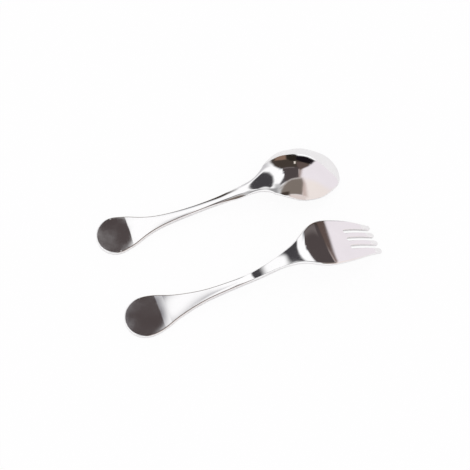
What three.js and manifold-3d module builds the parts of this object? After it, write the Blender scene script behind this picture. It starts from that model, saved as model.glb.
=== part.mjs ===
// A child's spoon and fork in mirror polished stainless steel, lying face down side by side.
// Each one is pressed and forged from a single blank: a round disc at the end of the handle,
// a slim arched handle, and a bowl or a four tined head that comes down to the table at its tip.
// Millimetres, +Z up, the table at z = 0. The near side of the pair faces -Y.

import * as THREE from 'three';
import Module from 'manifold-3d';

// How finely the surfaces are divided.
const STATIONS = 84;
const ACROSS = 12;
const RIM_STEPS = 3;

// The round disc at the end of both handles.
const DISC_HALF_WIDTH = 11.85;
const DISC_FLAT_RADIUS = 8;
const DISC_THICKNESS = 2.3;

// Each piece is described along its own axis: s is the distance from the middle of the disc.
// outline: s and half width, from the disc to the tip.
// height: s and the height of the middle of the metal at the edge.
// thickness and crown: s and the metal thickness, s and the rise of the middle over the edges.
// fullness makes the crown squarer than a parabola. A pointed piece closes at its tip, and the
// fork's head stays wide to the tips of its tines.
const SPOON = {
  discEnd: 10.85,
  tip: 134.4,
  outline: [[5, 10.91], [9, 9.72], [15, 7.16], [23, 4.54], [34, 2.9], [46, 2.17], [58, 2.08],
    [68, 2.66], [76, 3.38], [82, 4.2], [87, 6.47], [92, 10.31], [97, 13.66], [104, 17.18],
    [111, 18.07], [118, 17.5], [125, 14.37], [130, 11.03]],
  height: [[4, 1.15], [8, 1.15], [12, 1.25], [17, 1.47], [25, 1.86], [35, 2.4], [45, 3.1],
    [52, 3.76], [58, 4.4], [68, 5.45], [76, 6.86], [84, 9.55], [92, 11.4], [100, 10.28],
    [108, 8.06], [120, 5.42], [134.4, 0.5]],
  thickness: [[8, 2.3], [25, 2.75], [45, 3.2], [75, 3.3], [84, 2.9], [93, 2.1], [104, 1.7],
    [134.4, 1.4]],
  crown: [[8, 0], [11, 0.01], [17, 0.03], [28, 0.04], [42, 0.05], [54, 0.1], [66, 0.38],
    [72, 0.73], [76, 0.76], [80, 0.62], [84, 0.63], [88, 1.04], [92, 2.03], [96, 3.63],
    [100, 5.32], [104, 6.73], [108, 7.49], [112, 7.51], [118, 6.45], [124, 4.5], [134.4, 0]],
  fullness: 0.25,
  pointed: true,
  place: [-67.12, -0.91],
  turn: 19.72,
};

const FORK = {
  discEnd: 11.5,
  tip: 134.4,
  outline: [[5, 11.34], [9, 10.22], [15, 7.88], [23, 5.49], [34, 3.35], [46, 2.47], [58, 2.19],
    [68, 2.68], [76, 3.38], [82, 4.83], [87, 6.71], [92, 9.63], [97, 12.52], [102, 13.94],
    [110, 13.83], [118, 12.68], [126, 10.87], [138, 8.44]],
  height: [[4, 1.15], [8, 1.15], [12, 1.24], [17, 1.47], [25, 1.94], [34, 2.52], [43, 3.17],
    [51, 3.87], [58, 4.76], [62, 5.7], [66, 7.06], [70, 8.65], [76, 11.22], [81, 13.28],
    [85, 14.78], [89, 16.1], [94, 17], [98, 17.18], [101, 17.05], [103.2, 16.75], [105.4, 16.24],
    [107, 15.71], [110, 14.48], [115, 12.37], [120, 10.12], [134.4, 0.8]],
  thickness: [[8, 2.3], [25, 2.75], [45, 3.2], [75, 3.3], [90, 2.7], [110, 2.1], [134.4, 1.6]],
  crown: [[8, 0], [11, 0.01], [16, 0.03], [28, 0.04], [42, 0.05], [54, 0.08], [64, 0.1],
    [76, 0.23], [86, 0.6], [96, 0.45], [104, 0.2], [112, 0.1], [134.4, 0.1]],
  fullness: 0,
  pointed: false,
  place: [-47.72, -50.84],
  turn: 20.76,
};

// The three slots between the tines.
const SLOT_WIDTH = 2.1;
const SLOT_PITCH = 5.15;
const SLOT_ROOT = 115.6;
const TINE_ROUND = 1.5;

// The middle of the pair on the table, so that the pair stands over the origin.
const MIDDLE = [1.356, -3.569];

// A smooth curve through a few points: a cubic spline that runs out straight at both ends.
function spline(points) {
  const n = points.length;
  const x = points.map((p) => p[0]);
  const y = points.map((p) => p[1]);
  const bend = new Array(n).fill(0);
  const work = new Array(n).fill(0);
  for (let i = 1; i < n - 1; i += 1) {
    const share = (x[i] - x[i - 1]) / (x[i + 1] - x[i - 1]);
    const pivot = share * bend[i - 1] + 2;
    const turn = (y[i + 1] - y[i]) / (x[i + 1] - x[i]) - (y[i] - y[i - 1]) / (x[i] - x[i - 1]);
    bend[i] = (share - 1) / pivot;
    work[i] = (6 * turn / (x[i + 1] - x[i - 1]) - share * work[i - 1]) / pivot;
  }
  for (let i = n - 2; i >= 0; i -= 1) bend[i] = bend[i] * bend[i + 1] + work[i];
  return (at) => {
    let i = 0;
    while (i < n - 2 && at > x[i + 1]) i += 1;
    const h = x[i + 1] - x[i];
    const a = (x[i + 1] - at) / h;
    const b = (at - x[i]) / h;
    const curve = (a ** 3 - a) * bend[i] + (b ** 3 - b) * bend[i + 1];
    return a * y[i] + b * y[i + 1] + curve * h * h / 6;
  };
}

// The plan outline as a run of [s, half width] stations, from the disc's end to the tip.
function stations(piece) {
  const points = [];
  for (let degrees = -30; degrees <= 90; degrees += 10) {
    const a = THREE.MathUtils.degToRad(degrees);
    points.push([-piece.discEnd * Math.cos(a), DISC_HALF_WIDTH * Math.sin(a)]);
  }
  points.push(...piece.outline);
  if (piece.pointed) {
    const ends = piece.outline.slice(-2).reverse();
    points.push([piece.tip, 0], ...ends.map(([s, w]) => [s, -w]));
  }
  const reach = [0];
  for (let i = 1; i < points.length; i += 1) {
    const step = Math.hypot(points[i][0] - points[i - 1][0], points[i][1] - points[i - 1][1]);
    reach.push(reach[i - 1] + step);
  }
  const along = spline(points.map((p, i) => [reach[i], p[0]]));
  const width = spline(points.map((p, i) => [reach[i], p[1]]));
  const first = reach[3];
  const last = reach[points.length - (piece.pointed ? 3 : 1)];
  const list = [];
  for (let i = 1; i < STATIONS; i += 1) {
    const at = first + (last - first) * i / STATIONS;
    list.push([along(at), width(at)]);
  }
  if (!piece.pointed) list.push([along(last), width(last)]);
  return list;
}

// The three measures of the metal along a piece. The disc is dead flat. Just past it the bend
// runs round it, so the disc keeps a round edge on the handle side.
function shapeOf(piece) {
  const height = spline(piece.height);
  const thickness = spline(piece.thickness);
  const crown = spline(piece.crown);
  return {
    height(s, y) {
      const fade = THREE.MathUtils.clamp((26 - s) / 14, 0, 1);
      const round = s > 0 ? s + (Math.hypot(s, y) - s) * fade : s;
      return round < DISC_FLAT_RADIUS ? DISC_THICKNESS / 2 : height(round);
    },
    thickness: (s) => (s < DISC_FLAT_RADIUS ? DISC_THICKNESS : thickness(s)),
    crown: (s) => (s < piece.crown[0][0] ? 0 : Math.max(crown(s), 0)),
  };
}

// One closed ring of points round the metal at a station, with round edges.
function ring(piece, shape, s, w) {
  const ahead = piece.pointed ? piece.tip - s : Infinity;
  const end = Math.max(Math.min(s + piece.discEnd, ahead), 0);
  const full = shape.thickness(s) / 2;
  const half = end < full ? Math.sqrt(full ** 2 - (full - end) ** 2) : full;
  const cap = Math.min(half, 0.98 * w);
  const span = w - cap;
  const crown = shape.crown(s);
  const middle = (v) => {
    const rise = crown * (1 - v * v) * (1 + piece.fullness * v * v);
    return shape.height(s, span * v) + rise;
  };
  const lean = (v) => Math.atan2(middle(v + 0.001) - middle(v - 0.001), 0.002 * span);
  const points = [];
  const put = (v, angle, thick, wide) => {
    points.push([s, span * v + wide * Math.cos(angle), middle(v) + thick * Math.sin(angle)]);
  };
  for (const side of [1, -1]) {
    for (let i = 0; i <= ACROSS; i += 1) {
      const v = side * (2 * i / ACROSS - 1);
      put(v, lean(v) + side * Math.PI / 2, half, half);
    }
    for (let i = 1; i <= RIM_STEPS; i += 1) {
      const turn = Math.PI * i / (RIM_STEPS + 1);
      put(side, lean(side) + side * Math.PI / 2 - turn, half, cap);
    }
  }
  return points;
}

// The rings joined into one closed skin, with a single point at the disc end and at the tip.
function loft(piece) {
  const shape = shapeOf(piece);
  const rings = stations(piece).map(([s, w]) => ring(piece, shape, s, w));
  const count = rings[0].length;
  const points = rings.flat();
  const start = points.push([-piece.discEnd, 0, shape.height(-piece.discEnd, 0)]) - 1;
  const tipAt = piece.pointed ? piece.tip : rings[rings.length - 1][0][0];
  const finish = points.push([tipAt, 0, shape.height(tipAt, 0)]) - 1;
  const faces = [];
  for (let i = 0; i < count; i += 1) {
    const next = (i + 1) % count;
    faces.push([start, i, next]);
    for (let j = 0; j + 1 < rings.length; j += 1) {
      const a = j * count;
      const b = a + count;
      faces.push([a + i, b + next, a + next], [a + i, b + i, b + next]);
    }
    const lastRing = (rings.length - 1) * count;
    faces.push([lastRing + i, finish, lastRing + next]);
  }
  const geometry = new THREE.BufferGeometry();
  geometry.setAttribute('position', new THREE.Float32BufferAttribute(points.flat(), 3));
  geometry.setIndex(faces.flat());
  return geometry;
}

// The plan of the fork's head: a wide band that ends in four round tipped fingers.
function fingers(piece) {
  const shape = new THREE.Shape();
  const slot = SLOT_WIDTH / 2;
  const tine = SLOT_PITCH - SLOT_WIDTH;
  const neck = piece.tip - TINE_ROUND;
  shape.moveTo(-30, -40);
  shape.lineTo(neck, -40);
  for (let i = 0; i < 4; i += 1) {
    const middle = (i - 1.5) * SLOT_PITCH;
    const high = middle + tine / 2;
    shape.lineTo(neck, middle - tine / 2);
    shape.absellipse(neck, middle, TINE_ROUND, tine / 2, -Math.PI / 2, Math.PI / 2);
    if (i < 3) {
      shape.lineTo(SLOT_ROOT + slot, high);
      shape.absarc(SLOT_ROOT + slot, high + slot, slot, -Math.PI / 2, -3 * Math.PI / 2, true);
    }
  }
  shape.lineTo(neck, 40);
  shape.lineTo(-30, 40);
  return new THREE.ExtrudeGeometry(shape, { depth: 60, bevelEnabled: false, curveSegments: 8 });
}

const wasm = await Module();
wasm.setup();

// A three.js geometry as a solid, with equal points merged.
function solid(geometry) {
  const position = geometry.getAttribute('position');
  const index = geometry.getIndex();
  const total = index ? index.count : position.count;
  const known = new Map();
  const points = [];
  const corners = [];
  for (let i = 0; i < total; i += 1) {
    const k = index ? index.getX(i) : i;
    const point = [position.getX(k), position.getY(k), position.getZ(k)];
    const key = point.map((value) => value.toFixed(5)).join(' ');
    if (!known.has(key)) {
      known.set(key, known.size);
      points.push(...point);
    }
    corners.push(known.get(key));
  }
  return new wasm.Manifold(new wasm.Mesh({
    numProp: 3,
    vertProperties: new Float32Array(points),
    triVerts: new Uint32Array(corners),
  }));
}

// A solid as a three.js geometry again.
function geometryOf(body) {
  const mesh = body.getMesh();
  const geometry = new THREE.BufferGeometry();
  const points = new Float32Array(mesh.vertProperties);
  geometry.setAttribute('position', new THREE.BufferAttribute(points, 3));
  geometry.setIndex(Array.from(mesh.triVerts));
  return geometry;
}

function steel(name) {
  return new THREE.MeshStandardMaterial({
    name,
    color: 0xd6d2d3,
    roughness: 0.08,
    metalness: 1,
  });
}

function place(name, piece, geometry) {
  const mesh = new THREE.Mesh(geometry, steel(`${name}_steel`));
  mesh.name = name;
  mesh.position.set(piece.place[0] - MIDDLE[0], piece.place[1] - MIDDLE[1], 0);
  mesh.rotation.z = THREE.MathUtils.degToRad(piece.turn);
  return mesh;
}

const spoonBody = solid(loft(SPOON));
const forkBody = solid(loft(FORK)).intersect(solid(fingers(FORK).translate(0, 0, -20)));

const pair = new THREE.Group();
pair.name = 'spoon_and_fork_set';
pair.add(place('spoon', SPOON, geometryOf(spoonBody)));
pair.add(place('fork', FORK, geometryOf(forkBody)));

export default pair;
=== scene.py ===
# %% [markdown]
# # A child's spoon and fork in polished steel
# Two pieces of mirror polished stainless steel lie face down on a white table: a spoon with a
# domed bowl and a fork with four tines. Each has a slim handle that ends in a round disc. The
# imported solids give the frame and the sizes, and this lesson dresses them with finely divided
# skins, because a mirror shows every facet of the mesh under it.

# %% Load the frame
import math

import bmesh
import bpy
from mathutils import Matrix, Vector
from mathutils.geometry import delaunay_2d_cdt


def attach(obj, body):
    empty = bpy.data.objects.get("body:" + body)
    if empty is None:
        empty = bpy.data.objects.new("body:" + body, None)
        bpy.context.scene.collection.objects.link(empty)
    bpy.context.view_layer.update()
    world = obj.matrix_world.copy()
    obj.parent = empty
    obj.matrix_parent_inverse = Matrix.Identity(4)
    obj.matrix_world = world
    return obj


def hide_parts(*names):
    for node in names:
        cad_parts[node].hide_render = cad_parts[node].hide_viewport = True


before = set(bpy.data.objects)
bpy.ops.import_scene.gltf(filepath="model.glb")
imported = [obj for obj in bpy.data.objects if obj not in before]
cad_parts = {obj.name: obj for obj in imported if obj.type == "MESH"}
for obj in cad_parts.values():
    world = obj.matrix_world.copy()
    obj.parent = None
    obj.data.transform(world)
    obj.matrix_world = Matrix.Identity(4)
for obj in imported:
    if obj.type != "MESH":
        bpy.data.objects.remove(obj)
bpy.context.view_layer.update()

# %% [markdown]
# ## The measures of the two pieces
# Each piece is described along its own axis, in millimetres: s is the distance from the middle of
# the disc. `outline` holds half widths, `height` the middle of the metal at its edge, `thickness`
# the metal, and `crown` how far the middle rises over the edges. They were fitted to the outlines
# and the reflections in the photo. These are the same measures that the solids were made from, so
# the skins lie where the solids are. Only the rounding along the edges of the handles is tighter
# here, because its thin line of reflections shows in a picture.

# %% Measures of the spoon and the fork
DISC_HALF_WIDTH = 11.85
DISC_FLAT_RADIUS = 8.0
DISC_THICKNESS = 2.3

SPOON = {
    "disc_end": 10.85,
    "tip": 134.4,
    "outline": [(5, 10.91), (9, 9.72), (15, 7.16), (23, 4.54), (34, 2.9), (46, 2.17), (58, 2.08),
                (68, 2.66), (76, 3.38), (82, 4.2), (87, 6.47), (92, 10.31), (97, 13.66),
                (104, 17.18), (111, 18.07), (118, 17.5), (125, 14.37), (130, 11.03)],
    "height": [(4, 1.15), (8, 1.15), (12, 1.25), (17, 1.47), (25, 1.86), (35, 2.4), (45, 3.1),
               (52, 3.76), (58, 4.4), (68, 5.45), (76, 6.86), (84, 9.55), (92, 11.4),
               (100, 10.28), (108, 8.06), (120, 5.42), (134.4, 0.5)],
    "thickness": [(8, 2.3), (25, 2.75), (45, 3.2), (75, 3.3), (84, 2.9), (93, 2.1), (104, 1.7),
                  (134.4, 1.4)],
    "crown": [(8, 0), (11, 0.01), (17, 0.03), (28, 0.04), (42, 0.05), (54, 0.1), (66, 0.38),
              (72, 0.73), (76, 0.76), (80, 0.62), (84, 0.63), (88, 1.04), (92, 2.03), (96, 3.63),
              (100, 5.32), (104, 6.73), (108, 7.49), (112, 7.51), (118, 6.45), (124, 4.5),
              (134.4, 0)],
    "fullness": 0.25,
    "pointed": True,
    "place": (-67.12, -0.91),
    "turn": 19.72,
}

FORK = {
    "disc_end": 11.5,
    "tip": 134.4,
    "outline": [(5, 11.34), (9, 10.22), (15, 7.88), (23, 5.49), (34, 3.35), (46, 2.47),
                (58, 2.19), (68, 2.68), (76, 3.38), (82, 4.83), (87, 6.71), (92, 9.63),
                (97, 12.52), (102, 13.94), (110, 13.83), (118, 12.68), (126, 10.87), (138, 8.44)],
    "height": [(4, 1.15), (8, 1.15), (12, 1.24), (17, 1.47), (25, 1.94), (34, 2.52), (43, 3.17),
               (51, 3.87), (58, 4.76), (62, 5.7), (66, 7.06), (70, 8.65), (76, 11.22),
               (81, 13.28), (85, 14.78), (89, 16.1), (94, 17.0), (98, 17.18), (101, 17.05),
               (103.2, 16.75), (105.4, 16.24), (107, 15.71), (110, 14.48), (115, 12.37),
               (120, 10.12), (134.4, 0.8)],
    "thickness": [(8, 2.3), (25, 2.75), (45, 3.2), (75, 3.3), (90, 2.7), (110, 2.1), (134.4, 1.6)],
    "crown": [(8, 0), (11, 0.01), (16, 0.03), (28, 0.04), (42, 0.05), (54, 0.08), (64, 0.1),
              (76, 0.23), (86, 0.6), (96, 0.45), (104, 0.2), (112, 0.1), (134.4, 0.1)],
    "fullness": 0,
    "pointed": False,
    "place": (-47.72, -50.84),
    "turn": 20.76,
}

SLOT_WIDTH = 2.1
SLOT_PITCH = 5.15
SLOT_ROOT = 115.6
TINE_ROUND = 1.5
MIDDLE = (1.356, -3.569)
EDGE_RADIUS = 0.7
EDGE_GROWS = (76, 90)
ROUND_RISE = (12, 26)
MM = 0.001

# %% [markdown]
# ## A smooth curve through a few points
# Pressed and forged metal flows. A natural cubic spline bends as evenly as a thin steel rule, so
# the reflections run along the handle without a kink.

# %% The spline
def smooth_curve(points):
    """A function that runs evenly through the points, and straight out at both ends."""
    n = len(points)
    x = [float(p[0]) for p in points]
    y = [float(p[1]) for p in points]
    bend = [0.0] * n
    work = [0.0] * n
    for i in range(1, n - 1):
        share = (x[i] - x[i - 1]) / (x[i + 1] - x[i - 1])
        pivot = share * bend[i - 1] + 2
        turn = (y[i + 1] - y[i]) / (x[i + 1] - x[i]) - (y[i] - y[i - 1]) / (x[i] - x[i - 1])
        bend[i] = (share - 1) / pivot
        work[i] = (6 * turn / (x[i + 1] - x[i - 1]) - share * work[i - 1]) / pivot
    for i in range(n - 2, -1, -1):
        bend[i] = bend[i] * bend[i + 1] + work[i]

    def at(t):
        i = 0
        while i < n - 2 and t > x[i + 1]:
            i += 1
        h = x[i + 1] - x[i]
        a = (x[i + 1] - t) / h
        b = (t - x[i]) / h
        return (a * y[i] + b * y[i + 1]
                + ((a ** 3 - a) * bend[i] + (b ** 3 - b) * bend[i + 1]) * h * h / 6)
    return at


print("the head of the fork rises to", round(smooth_curve(FORK["height"])(100), 2), "mm")

# %% [markdown]
# ## The middle of the metal
# A spoon is one sheet of metal that changes its thickness. It is easiest to describe the surface
# halfway through that sheet, and then to step out from it by half the thickness on both sides.

# %% The sheet of metal
WIDTH_STEPS = 1500


class Metal:
    """The surface halfway through the metal of one piece, in its own frame, in millimetres."""

    def __init__(self, piece):
        self.piece = piece
        self.level = smooth_curve(piece["height"])
        self.gauge = smooth_curve(piece["thickness"])
        self.rise = smooth_curve(piece["crown"])
        self.half_width = self.widths()

    def edge(self):
        """The plan outline of the right half as splines over its own length."""
        piece = self.piece
        points = []
        for degrees in range(-30, 91, 10):
            a = math.radians(degrees)
            points.append((-piece["disc_end"] * math.cos(a), DISC_HALF_WIDTH * math.sin(a)))
        points += piece["outline"]
        if piece["pointed"]:
            ends = piece["outline"][-2:][::-1]
            points += [(piece["tip"], 0)] + [(s, -w) for s, w in ends]
        reach = [0.0]
        for a, b in zip(points, points[1:]):
            reach.append(reach[-1] + math.dist(a, b))
        along = smooth_curve([(r, p[0]) for r, p in zip(reach, points)])
        width = smooth_curve([(r, p[1]) for r, p in zip(reach, points)])
        last = reach[-3] if piece["pointed"] else reach[-1]
        return along, width, reach[3], last

    def widths(self):
        """Half width over s, as a fine table."""
        along, width, first, last = self.edge()
        stations = [first + (last - first) * i / WIDTH_STEPS for i in range(WIDTH_STEPS + 1)]
        return [(along(r), max(width(r), 0.0)) for r in stations]

    def width_at(self, s):
        table = self.half_width
        lo, hi = 0, len(table) - 1
        if s <= table[0][0] or s >= table[-1][0]:
            return table[0][1] if s <= table[0][0] else table[-1][1]
        while hi - lo > 1:
            mid = (lo + hi) // 2
            if table[mid][0] < s:
                lo = mid
            else:
                hi = mid
        (s0, w0), (s1, w1) = table[lo], table[hi]
        return w0 + (w1 - w0) * (s - s0) / max(s1 - s0, 1e-9)

    def thickness(self, s):
        return DISC_THICKNESS if s < DISC_FLAT_RADIUS else self.gauge(s)

    def rim(self, s):
        """The radius of the rounded edge: small along the handle, full at the bowl and the head."""
        full = self.thickness(s) / 2
        t = min(max((s - EDGE_GROWS[0]) / (EDGE_GROWS[1] - EDGE_GROWS[0]), 0), 1)
        return min(full, EDGE_RADIUS + (full - EDGE_RADIUS) * t * t * (3 - 2 * t))

    def height(self, s, y):
        """The middle of the metal over the plan point (s, y)."""
        fade = min(max((ROUND_RISE[1] - s) / (ROUND_RISE[1] - ROUND_RISE[0]), 0), 1)
        round_s = s + (math.hypot(s, y) - s) * fade if s > 0 else s
        base = DISC_THICKNESS / 2 if round_s < DISC_FLAT_RADIUS else self.level(round_s)
        crown = 0.0 if s < self.piece["crown"][0][0] else max(self.rise(s), 0.0)
        if crown > 0:
            span = max(self.width_at(s) - self.rim(s), 0.5)
            v2 = min((y / span) ** 2, 1.3)
            base += crown * (1 - v2) * (1 + self.piece["fullness"] * v2)
        return base

    def normal(self, s, y, step=0.05):
        ds = (self.height(s + step, y) - self.height(s - step, y)) / (2 * step)
        dy = (self.height(s, y + step) - self.height(s, y - step)) / (2 * step)
        return Vector((-ds, -dy, 1)).normalized()

    def skin(self, s, y, side):
        """A point of the upper (side 1) or lower (side -1) face."""
        n = self.normal(s, y)
        return Vector((s, y, self.height(s, y))) + n * (side * self.thickness(s) / 2)

    def skin_normal(self, s, y, side, step=0.05):
        a = self.skin(s + step, y, side) - self.skin(s - step, y, side)
        b = self.skin(s, y + step, side) - self.skin(s, y - step, side)
        return a.cross(b).normalized() * side


spoon_metal = Metal(SPOON)
fork_metal = Metal(FORK)
print("spoon bowl rises to", round(spoon_metal.height(104, 0), 2), "mm")

# %% [markdown]
# ## The outline, with a rolled edge
# The blank is cut to its outline and its edge is then rolled round. So the outline is walked in
# small even steps, and at each step a half circle is laid round the edge of the metal.

# %% Plan outlines
OUTLINE_STEP = 0.35
TINE_EDGE = 0.42
WIDEST_EDGE = 2.0
NO_LIMIT = 99.0


def half_outline(metal, step):
    """The right half of the plan outline, from the disc end to the tip, in even steps."""
    along, width, first, last = metal.edge()
    count = max(int((last - first) / step), 8)
    return [(along(first + (last - first) * i / count), width(first + (last - first) * i / count))
            for i in range(count + 1)]


def spoon_outline(metal, step):
    right = half_outline(metal, step)
    right[0] = (right[0][0], 0.0)
    right[-1] = (right[-1][0], 0.0)
    loop = [Vector(p) for p in right] + [Vector((s, -w)) for s, w in reversed(right[1:-1])]
    edge = [NO_LIMIT] * len(loop)
    return loop, edge


def arc(cx, cy, rx, ry, start, end, step):
    count = max(int(abs(end - start) * max(rx, ry) / step), 6)
    return [(cx + rx * math.cos(start + (end - start) * i / count),
             cy + ry * math.sin(start + (end - start) * i / count)) for i in range(count + 1)]


def fork_outline(metal, step):
    """The right side, the four tines with their slots, and the left side."""
    tip = FORK["tip"]
    tine = SLOT_PITCH - SLOT_WIDTH
    neck = tip - TINE_ROUND
    side = [p for p in half_outline(metal, step) if p[0] < neck]
    side[0] = (side[0][0], 0.0)
    points = [(p[0], p[1], NO_LIMIT) for p in side]
    fine = step * 0.5
    half = math.pi / 2
    for i in range(4):
        centre = (1.5 - i) * SLOT_PITCH
        low = centre - tine / 2
        low_edge = low if i < 3 else -metal.width_at(neck)
        high_edge = centre + tine / 2 if i > 0 else metal.width_at(neck)
        mid = (low_edge + high_edge) / 2
        ry = (high_edge - low_edge) / 2
        points += [(s, y, TINE_EDGE) for s, y in arc(neck, mid, TINE_ROUND, ry, half, -half, fine)]
        if i < 3:
            r = SLOT_WIDTH / 2
            run = int((neck - SLOT_ROOT - r) / step)
            points += [(neck + (SLOT_ROOT + r - neck) * k / run, low, TINE_EDGE)
                       for k in range(1, run)]
            points += [(s, y, TINE_EDGE) for s, y in
                       arc(SLOT_ROOT + r, low - r, r, r, half, 3 * half, fine)]
            points += [(SLOT_ROOT + r + (neck - SLOT_ROOT - r) * k / run, low - 2 * r, TINE_EDGE)
                       for k in range(1, run)]
    points += [(s, -w, NO_LIMIT) for s, w in reversed(side[1:])]
    loop = [Vector((s, y)) for s, y, _ in points]
    edge = [e for _, _, e in points]
    for _ in range(12):
        edge = [min((edge[k - 1] + edge[k] + edge[(k + 1) % len(edge)]) / 3, WIDEST_EDGE)
                for k in range(len(edge))]
    return loop, edge


spoon_loop, spoon_edge = spoon_outline(spoon_metal, OUTLINE_STEP)
fork_loop, fork_edge = fork_outline(fork_metal, OUTLINE_STEP)
print("outline points:", len(spoon_loop), "spoon,", len(fork_loop), "fork")

# %% [markdown]
# ## From outline to skin
# The half circles give a rim. What is left inside them is the upper and the lower face. Both are
# filled with a fine net of triangles in plan and then lifted onto the metal. The normals come
# from the formulas rather than from the triangles, so the mirror stays free of facets.

# %% Build one piece
RIM_STEPS = 12
FACE_STEP = 0.5
FACE_GAP = FACE_STEP * 0.55


def place_point(piece, p):
    a = math.radians(piece["turn"])
    x = piece["place"][0] - MIDDLE[0] + math.cos(a) * p.x - math.sin(a) * p.y
    y = piece["place"][1] - MIDDLE[1] + math.sin(a) * p.x + math.cos(a) * p.y
    return Vector((x, y, p.z)) * MM


def turn_vector(piece, v):
    a = math.radians(piece["turn"])
    return Vector((math.cos(a) * v.x - math.sin(a) * v.y, math.sin(a) * v.x + math.cos(a) * v.y, v.z))


def inner_points(loop, gap):
    """Plan points on straight rows inside the loop, at least gap away from it."""
    cell = 1.0
    grid = {}
    for p in loop:
        grid.setdefault((int(p.x // cell), int(p.y // cell)), []).append(p)

    def clear(s, y):
        for i in (-1, 0, 1):
            for j in (-1, 0, 1):
                for p in grid.get((int(s // cell) + i, int(y // cell) + j), ()):
                    if (p.x - s) ** 2 + (p.y - y) ** 2 < gap * gap:
                        return False
        return True

    found = []
    s = min(p.x for p in loop) + FACE_STEP
    end = max(p.x for p in loop)
    count = len(loop)
    while s < end:
        cuts = sorted(loop[k].y + (loop[(k + 1) % count].y - loop[k].y)
                      * (s - loop[k].x) / (loop[(k + 1) % count].x - loop[k].x)
                      for k in range(count)
                      if (loop[k].x <= s) != (loop[(k + 1) % count].x <= s))
        for low, high in zip(cuts[::2], cuts[1::2]):
            pieces = max(int(round((high - low) / FACE_STEP)), 2)
            for i in range(1, pieces):
                y = low + (high - low) * i / pieces
                if clear(s, y):
                    found.append(Vector((s, y)))
        s += FACE_STEP
    return found


def build_skin(name, metal, loop, edge):
    """A closed skin: the rim as half circles round the outline, then both faces."""
    piece = metal.piece
    count = len(loop)
    points, normals, faces = [], [], []
    inner = []
    for k in range(count):
        before, here, after = loop[k - 1], loop[k], loop[(k + 1) % count]
        d = (after - before).normalized()
        out = Vector((-d.y, d.x))
        half = metal.thickness(here.x) / 2
        radius = min(half, edge[k], metal.rim(here.x))
        slope = metal.normal(here.x, here.y)
        lean = math.atan2(-(slope.x * out.x + slope.y * out.y), slope.z)
        inside = here - out * (radius * math.cos(lean))
        inner.append(inside)
        n = metal.normal(inside.x, inside.y)
        outward = Vector((out.x, out.y, 0))
        outward = (outward - n * outward.dot(n)).normalized()
        centre = Vector((inside.x, inside.y, metal.height(inside.x, inside.y)))
        flat = metal.thickness(inside.x) / 2
        radius = min(flat, radius)
        for i in range(RIM_STEPS + 1):
            angle = math.pi / 2 - math.pi * i / RIM_STEPS
            wall = (flat - radius) * (1 if i < RIM_STEPS / 2 else -1 if i > RIM_STEPS / 2 else 0)
            points.append(centre + outward * (radius * math.cos(angle))
                          + n * (radius * math.sin(angle) + wall))
            if i == 0 or i == RIM_STEPS:
                normals.append(metal.skin_normal(inside.x, inside.y, 1 if i == 0 else -1))
            else:
                normals.append((outward * math.cos(angle) + n * math.sin(angle)).normalized())
    row = RIM_STEPS + 1
    for k in range(count):
        after = (k + 1) % count
        for i in range(RIM_STEPS):
            faces.append((k * row + i, after * row + i, after * row + i + 1, k * row + i + 1))
    extra = inner_points(inner, FACE_GAP)
    plan = [Vector((p.x, p.y)) for p in inner] + extra
    verts, _, tris, origin, _, _ = delaunay_2d_cdt(plan, [], [list(range(count))], 1, 1e-6)
    for side in (1, -1):
        number = {}
        for i, v in enumerate(verts):
            source = min(origin[i]) if origin[i] else None
            if source is not None and source < count:
                number[i] = source * row + (0 if side > 0 else RIM_STEPS)
            else:
                number[i] = len(points)
                points.append(metal.skin(v.x, v.y, side))
                normals.append(metal.skin_normal(v.x, v.y, side))
        for tri in tris:
            a, b, c = (number[i] for i in tri)
            pa, pb, pc = (verts[i] for i in tri)
            ccw = (pb.x - pa.x) * (pc.y - pa.y) - (pb.y - pa.y) * (pc.x - pa.x) > 0
            faces.append((a, b, c) if ccw == (side > 0) else (a, c, b))
    mesh = bpy.data.meshes.new(name)
    mesh.from_pydata([place_point(piece, p) for p in points], [], faces)
    mesh.validate()
    for polygon in mesh.polygons:
        polygon.use_smooth = True
    mesh.normals_split_custom_set_from_vertices([turn_vector(piece, n) for n in normals])
    skin = bpy.data.objects.new(name, mesh)
    bpy.context.scene.collection.objects.link(skin)
    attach(skin, "root")
    triangles = sum(len(p.vertices) - 2 for p in mesh.polygons)
    print(name, "has", len(points), "points and", triangles, "triangles")
    return skin


spoon_skin = build_skin("spoon_polished", spoon_metal, spoon_loop, spoon_edge)
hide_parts("spoon")
fork_skin = build_skin("fork_polished", fork_metal, fork_loop, fork_edge)
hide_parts("fork")

# %% [markdown]
# ## Mirror polished steel
# Stainless cutlery is buffed to a mirror. Seen closely it still has a little life: the buffing
# wheel leaves very fine marks, the pressed sheet is faintly uneven, and fingers leave a slightly
# duller film. Those are roughness and bump, while the colour stays that of the metal.

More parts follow.
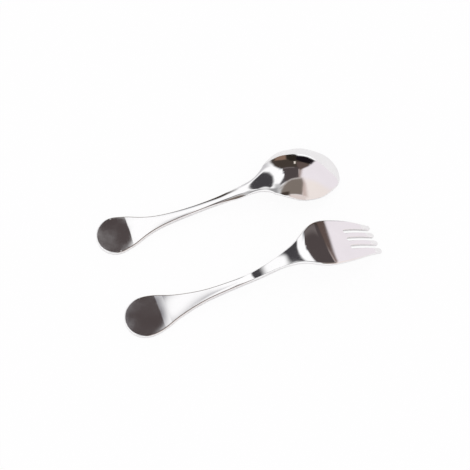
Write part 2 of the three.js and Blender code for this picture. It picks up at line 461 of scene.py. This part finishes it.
# %% Steel material
def polished_steel(name, seed):
    material = bpy.data.materials.new(name)
    material.use_nodes = True
    nodes, links = material.node_tree.nodes, material.node_tree.links
    shader = nodes["Principled BSDF"]
    shader.inputs["Metallic"].default_value = 1.0
    coords = nodes.new("ShaderNodeTexCoord")
    shift = nodes.new("ShaderNodeMapping")
    shift.inputs["Location"].default_value = (seed, seed * 0.7, 0)
    links.new(coords.outputs["Object"], shift.inputs["Vector"])

    film = nodes.new("ShaderNodeTexNoise")
    film.inputs["Scale"].default_value = 90
    film.inputs["Detail"].default_value = 4
    links.new(shift.outputs["Vector"], film.inputs["Vector"])

    tone = nodes.new("ShaderNodeValToRGB")
    tone.color_ramp.elements[0].position = 0.3
    tone.color_ramp.elements[0].color = (0.885, 0.87, 0.875, 1)
    tone.color_ramp.elements[1].position = 0.7
    tone.color_ramp.elements[1].color = (0.915, 0.9, 0.905, 1)
    links.new(film.outputs["Fac"], tone.inputs["Fac"])
    links.new(tone.outputs["Color"], shader.inputs["Base Color"])

    gloss = nodes.new("ShaderNodeMapRange")
    gloss.inputs["From Min"].default_value = 0.35
    gloss.inputs["From Max"].default_value = 0.7
    gloss.inputs["To Min"].default_value = 0.03
    gloss.inputs["To Max"].default_value = 0.09
    links.new(film.outputs["Fac"], gloss.inputs["Value"])
    links.new(gloss.outputs["Result"], shader.inputs["Roughness"])

    marks = nodes.new("ShaderNodeMapping")
    marks.inputs["Rotation"].default_value = (0, 0, math.radians(-20))
    marks.inputs["Scale"].default_value = (120, 3200, 3200)
    links.new(coords.outputs["Object"], marks.inputs["Vector"])
    hairs = nodes.new("ShaderNodeTexNoise")
    hairs.inputs["Scale"].default_value = 1
    hairs.inputs["Detail"].default_value = 3
    links.new(marks.outputs["Vector"], hairs.inputs["Vector"])
    bump = nodes.new("ShaderNodeBump")
    bump.inputs["Strength"].default_value = 0.02
    bump.inputs["Distance"].default_value = 0.00002
    links.new(hairs.outputs["Fac"], bump.inputs["Height"])
    links.new(bump.outputs["Normal"], shader.inputs["Normal"])
    return material


for skin, name, seed in ((spoon_skin, "spoon_mirror_steel", 1.3),
                         (fork_skin, "fork_mirror_steel", 4.1)):
    skin.data.materials.append(polished_steel(name, seed))
    print(skin.name, "wears", name)

# %% [markdown]
# ## The table and the light
# The table is a plain white sheet under a plain white world. The camera sees the sheet almost at
# full white, while the steel sees it nearly as it is lit, with the shade under the pieces.

# %% Table
TABLE_WIDTH = 8.0
TABLE_WHITE = (0.92, 0.918, 0.922, 1)
WHITE_FOR_CAMERA = 0.93
WHITE_FOR_MIRROR = 0.1


def flat_sheet(name, size):
    mesh = bpy.data.meshes.new(name)
    h = size / 2
    mesh.from_pydata([(-h, -h, 0), (h, -h, 0), (h, h, 0), (-h, h, 0)], [], [(0, 1, 2, 3)])
    sheet = bpy.data.objects.new(name, mesh)
    bpy.context.scene.collection.objects.link(sheet)
    return sheet


table = flat_sheet("white_table", TABLE_WIDTH)
white = bpy.data.materials.new("white_table_top")
white.use_nodes = True
nodes, links = white.node_tree.nodes, white.node_tree.links
paper = nodes["Principled BSDF"]
paper.inputs["Base Color"].default_value = TABLE_WHITE
paper.inputs["Roughness"].default_value = 0.8
glow = nodes.new("ShaderNodeEmission")
glow.inputs["Color"].default_value = (1, 0.997, 1, 1)
glow.inputs["Strength"].default_value = 1.0
path = nodes.new("ShaderNodeLightPath")
mirrored = nodes.new("ShaderNodeMath")
mirrored.operation = "MAXIMUM"
links.new(path.outputs["Is Glossy Ray"], mirrored.inputs[0])
links.new(path.outputs["Is Transmission Ray"], mirrored.inputs[1])
dimmed = nodes.new("ShaderNodeMath")
dimmed.operation = "MULTIPLY"
dimmed.inputs[1].default_value = WHITE_FOR_MIRROR
links.new(mirrored.outputs["Value"], dimmed.inputs[0])
share = nodes.new("ShaderNodeMath")
share.operation = "MULTIPLY_ADD"
share.inputs[1].default_value = WHITE_FOR_CAMERA
links.new(path.outputs["Is Camera Ray"], share.inputs[0])
links.new(dimmed.outputs["Value"], share.inputs[2])
mix = nodes.new("ShaderNodeMixShader")
links.new(share.outputs["Value"], mix.inputs["Fac"])
links.new(paper.outputs["BSDF"], mix.inputs[1])
links.new(glow.outputs["Emission"], mix.inputs[2])
links.new(mix.outputs["Shader"], nodes["Material Output"].inputs["Surface"])
table.data.materials.append(white)
print("the table is", table.dimensions.x, "m wide")

# %% World
WORLD_STRENGTH = 1.0
world = bpy.data.worlds.new("white_studio")
world.use_nodes = True
bpy.context.scene.world = world
world.node_tree.nodes["Background"].inputs["Color"].default_value = (1, 1, 1, 1)
world.node_tree.nodes["Background"].inputs["Strength"].default_value = WORLD_STRENGTH
print("the world is plain white at strength", WORLD_STRENGTH)

# %% [markdown]
# ## What the mirror sees
# Polished steel has hardly a colour of its own: it shows what is round it. Here that is painted:
# round the pair stands a glowing dome that only mirrors see, white with a few painted patches, and
# these painted reflections show in the bowl and in the head of the fork as the dark room, its frame
# and the cloth in front. The patches were drawn over a map of what the steel in the photo reflects,
# and their shades were read from it. Each is a simple outline, given in degrees away from straight
# up, first to the right and then to the back, with a softness in degrees and the shade in which the
# steel should show it.

# %% Patches of the lining
# Painted reflections: each patch below is a shade painted on a glowing dome that only mirrors see, so
# the steel shows it as a reflection.
PAINTED_REFLECTIONS = [
    ("rosy wall", 3, (233, 226, 231), [
        [(30, -120), (150, -120), (150, 95), (60, 95), (47, 74), (27, 42), (26, 28)],
    ]),
    ("pale back wall", 7, (200, 198, 201), [
        [(-120, 62), (-45, 52), (-32, 56), (-27, 130), (-110, 130)],
    ]),
    ("top of the back wall", 3, (229, 224, 232), [
        [(-34, 100), (-4, 102), (16, 86), (46, 78), (80, 100), (0, 150), (-40, 140)],
    ]),
    ("warm white wall", 12, (234, 224, 220), [
        [(34, 8), (90, 8), (90, -80), (46, -80)],
    ]),
    ("soft sheen", 4, (190, 194, 200), [
        [(-17, 50), (-15, 34), (-5, 34), (-5, 50)],
    ]),
    ("brown cloth in front", 3, (121, 111, 104), [
        [(0, -2), (-7, -14), (-9, -30), (-6, -38), (4, -46), (40, -40), (41, -26), (38, -6),
         (32, 10), (18, 7), (7, 3)],
    ]),
    ("edge of the brown cloth", 3, (194, 176, 170), [
        [(34, 9), (40, -6), (50, -42), (40, -42), (38, -20)],
    ]),
    ("pale strip in front", 3, (216, 203, 199), [
        [(6, -45), (40, -41), (50, -42), (48, -60), (6, -60)],
    ]),
    ("grey side", 4, (188, 187, 188), [
        [(-21, -2), (-10, -6), (-6, -18), (-8, -40), (-20, -40)],
    ]),
    ("dark side", 4, (150, 149, 150), [
        [(-31, -14), (-15, -16), (-13, -38), (-31, -40)],
    ]),
    ("lens", 3, (66, 56, 50), [
        [(-8, -37), (6, -35), (8, -48), (-4, -50)],
    ]),
    ("opening at the back", 3, (66, 58, 52), [
        [(-30, 99), (-29, 70), (-24, 49), (-19, 41), (-12, 35), (26, 33), (28, 60), (15, 82),
         (8, 92), (0, 99)],
        [(14, 60), (26, 33), (38, 48), (43, 58), (47, 72), (34, 77), (14, 81)],
    ]),
    ("shade beside the opening", 2.5, (86, 82, 84), [
        [(-6.5, 14), (-13, -6), (-10, -10), (0, -1), (8, 6), (0, 14)],
    ]),
    ("soft edge of the opening", 4, (150, 132, 128), [
        [(22, 34), (22, 8), (29, 8), (29, 38)],
    ]),
    # A painted sheen: a grey patch that the fork's handle shows as a grey gradient next to its disc.
    ("painted grey sheen by the fork disc", 1.6, (120, 118, 124), [
        [(-9.3, 26), (-9.3, 21), (-5, 21), (-5, 26)],
    ]),
    ("opening overhead", 0.6, (76, 68, 68), [
        [(-9.95, 38), (-9.95, 27), (22, 27), (22, 41)],
        [(-7.6, 28), (-7.6, 22.3), (22, 22.3), (22, 28)],
        [(-7, 24), (-6.2, 4), (-1, -2), (25, 8), (23, 30), (22, 41), (0, 38)],
    ]),
    ("brown room behind", 3, (130, 106, 92), [
        [(-24, 97), (-22, 72), (-12, 66), (-2, 66), (-1, 96)],
    ]),
    ("black frame", 2.5, (42, 36, 31), [
        [(-1, 97), (0, 70), (6, 60), (16, 60), (16, 82), (8, 92)],
    ]),
    ("black frame, right", 2, (24, 19, 23), [
        [(15, 80), (16, 64), (28, 57), (43, 58), (47, 72), (34, 77)],
    ]),
    ("brown frame", 2, (92, 78, 74), [
        [(17, 60), (20, 44), (26, 33), (38, 48), (42, 58), (28, 57)],
    ]),
    # A painted glint: a small light patch in the dark frame that the bowl and the fork show as a
    # highlight.
    ("painted glint", 1.2, (235, 225, 215), [
        [(13.5, 58), (14, 50), (16.5, 50), (16.5, 58)],
    ]),
    ("hem", 1.5, (108, 100, 99), [
        [(-9, 34), (-8, 36.5), (14, 39.5), (15, 37)],
    ]),
    ("cable", 1.5, (172, 164, 161), [
        [(-12, -21), (-1, -1), (2, -3), (-8, -22)],
        [(-1, -1), (7, 5), (10, 2), (2, -3)],
        [(7, 5), (29, 12), (30, 8), (10, 2)],
    ]),
    ("bar of the frame", 2, (66, 64, 67), [
        [(-46, 48), (-38, 45), (-31, 34), (-28, 22), (-33, 10), (-38, 22), (-42, 34)],
        [(-38, 22), (-31, 34), (-26, 20), (-23.5, 6), (-24, -6), (-28, -12), (-33, 4)],
    ]),
]
print("the lining has", len(PAINTED_REFLECTIONS), "patches on its white cloth")

# %% [markdown]
# ## The dome of painted reflections
# The painted reflections are drawn on a wide dome far outside, so they look the same from every place
# on the table. The dome glows but is no lamp: only mirrors see it, while the camera, the shadows and
# the dull surfaces see the white world.

# %% Tent
STEEL_TONE = (0.9, 0.885, 0.89)
TENT_RADIUS = 20.0
WHITE_CLOTH = (255, 254, 255)
NEARLY_ZERO = 0.00001


def light_for_steel_shade(shade):
    """The light that the steel turns into this shade."""
    light = []
    for value, tone in zip(shade, STEEL_TONE):
        v = value / 255
        light.append((v / 12.92 if v <= 0.04045 else ((v + 0.055) / 1.055) ** 2.4) / tone)
    return (*light, 1)


def lining(name):
    material = bpy.data.materials.new(name)
    material.use_nodes = True
    nodes, links = material.node_tree.nodes, material.node_tree.links
    nodes.clear()

    def vector(operation, first, second=None):
        node = nodes.new("ShaderNodeVectorMath")
        node.operation = operation
        links.new(first, node.inputs[0])
        if second is not None:
            node.inputs[1].default_value = second
        return node

    def number(operation, first, second):
        node = nodes.new("ShaderNodeMath")
        node.operation = operation
        for socket, value in zip(node.inputs, (first, second)):
            if isinstance(value, (int, float)):
                socket.default_value = value
            else:
                links.new(value, socket)
        return node.outputs["Value"]

    coords = nodes.new("ShaderNodeTexCoord")
    toward = vector("NORMALIZE", coords.outputs["Object"]).outputs["Vector"]
    parts = nodes.new("ShaderNodeSeparateXYZ")
    links.new(toward, parts.inputs["Vector"])
    flat = vector("MULTIPLY", toward, (1, 1, 0)).outputs["Vector"]
    spread = number("MAXIMUM", vector("LENGTH", flat).outputs["Value"], NEARLY_ZERO)
    ratio = number("DIVIDE", number("ARCCOSINE", parts.outputs["Z"], 0), spread)
    plan = vector("SCALE", flat)
    links.new(ratio, plan.inputs["Scale"])
    plan = plan.outputs["Vector"]

    def patch(corners, softness):
        area = sum(a[0] * b[1] - b[0] * a[1] for a, b in zip(corners, corners[1:] + corners[:1]))
        turn = 1 if area > 0 else -1
        inside = None
        for a, b in zip(corners, corners[1:] + corners[:1]):
            reach = math.dist(a, b)
            across = (-(b[1] - a[1]) / reach * turn, (b[0] - a[0]) / reach * turn, 0)
            level = math.radians(a[0] * across[0] + a[1] * across[1])
            step = nodes.new("ShaderNodeMapRange")
            step.interpolation_type = "SMOOTHSTEP"
            step.inputs["From Min"].default_value = level - math.radians(softness)
            step.inputs["From Max"].default_value = level + math.radians(softness)
            links.new(vector("DOT_PRODUCT", plan, across).outputs["Value"], step.inputs["Value"])
            side = step.outputs["Result"]
            inside = side if inside is None else number("MINIMUM", inside, side)
        return inside

    colour = None
    for _, softness, shade, outlines in PAINTED_REFLECTIONS:
        cover = None
        for corners in outlines:
            one = patch(corners, softness)
            cover = one if cover is None else number("MAXIMUM", cover, one)
        layer = nodes.new("ShaderNodeMix")
        layer.data_type = "RGBA"
        links.new(cover, layer.inputs[0])
        layer.inputs[6].default_value = light_for_steel_shade(WHITE_CLOTH)
        if colour is not None:
            links.new(colour, layer.inputs[6])
        layer.inputs[7].default_value = light_for_steel_shade(shade)
        colour = layer.outputs[2]
    glow = nodes.new("ShaderNodeEmission")
    links.new(colour, glow.inputs["Color"])
    output = nodes.new("ShaderNodeOutputMaterial")
    links.new(glow.outputs["Emission"], output.inputs["Surface"])
    return material


def dome(name, radius):
    mesh = bpy.data.meshes.new(name)
    shell = bmesh.new()
    bmesh.ops.create_uvsphere(shell, u_segments=96, v_segments=48, radius=radius)
    shell.to_mesh(mesh)
    shell.free()
    reflection_dome = bpy.data.objects.new(name, mesh)
    bpy.context.scene.collection.objects.link(reflection_dome)
    return reflection_dome


# A glowing dome that only mirrors see: it carries the painted reflections and lights nothing.
reflection_dome = dome("painted_reflection_dome", TENT_RADIUS)
reflection_dome.data.materials.append(lining("painted_reflection_lining"))
reflection_dome.visible_camera = False
reflection_dome.visible_diffuse = False
reflection_dome.visible_shadow = False
print("the tent is drawn with", len(reflection_dome.data.materials[0].node_tree.nodes), "nodes")

# %% [markdown]
# ## The camera
# The camera looks down on the pair at sixty degrees. Its frame is moved by half a pixel, so that
# the middles of the pixels lie where they lie in the photo.

# %% Camera
CAMERA_PLACE = (-0.001356, -0.249231, 0.43788)
CAMERA_TILT = 30
FRAME_PIXELS = 470
FOCAL_PIXELS = 900
SENSOR_MM = 36.0
camera_data = bpy.data.cameras.new("photo_camera")
camera_data.sensor_width = SENSOR_MM
camera_data.lens = FOCAL_PIXELS / FRAME_PIXELS * SENSOR_MM
camera_data.clip_start = 0.01
camera_data.shift_x = -0.5 / FRAME_PIXELS
camera_data.shift_y = 0.5 / FRAME_PIXELS
camera = bpy.data.objects.new("photo_camera", camera_data)
camera.location = CAMERA_PLACE
camera.rotation_euler = (math.radians(CAMERA_TILT), 0, 0)
bpy.context.scene.collection.objects.link(camera)
bpy.context.scene.camera = camera
bpy.context.scene.view_settings.view_transform = "Standard"
